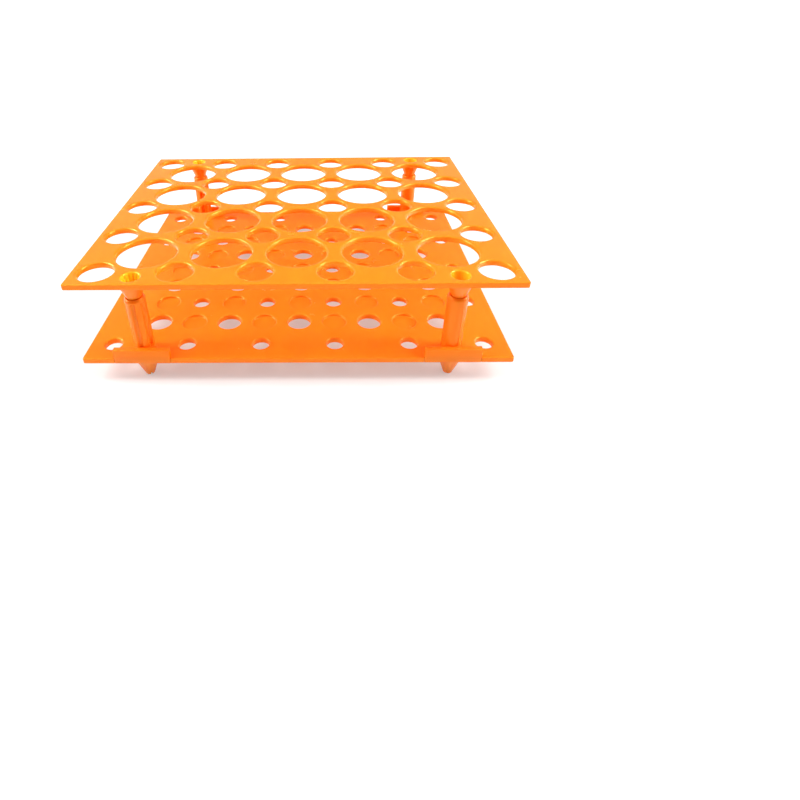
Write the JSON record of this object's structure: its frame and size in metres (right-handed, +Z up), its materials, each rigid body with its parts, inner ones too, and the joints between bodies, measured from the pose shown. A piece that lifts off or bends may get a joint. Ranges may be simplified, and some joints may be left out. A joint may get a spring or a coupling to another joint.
{
  "type": "test tube rack",
  "caption": "Low two-deck plastic rack for conical laboratory tubes: a deck of round tube holes held on posts above a base deck with tip holes and conical feet.",
  "frame": {"origin": "on the surface the feet stand on, below the middle of the rack", "axes": "+X along the long side, +Y from the front edge to the back edge, +Z up"},
  "size_m": [0.214, 0.176, 0.058],
  "materials": {
    "deck_plastic": "glossy, slightly translucent orange polypropylene",
    "post_plastic": "glossy, slightly translucent orange polypropylene"
  },
  "bodies": {
    "base": {"bottom_plate": "deck_plastic", "post_front_left": "post_plastic", "post_front_right": "post_plastic", "post_back_left": "post_plastic", "post_back_right": "post_plastic"},
    "top": {"top_plate": "deck_plastic"}
  },
  "joints": [
    {"name": "top_plate_lift", "type": "slide", "parent": "base", "child": "top", "axis": [0, 0, 1], "range_m": [0, 0.03]}
  ]
}
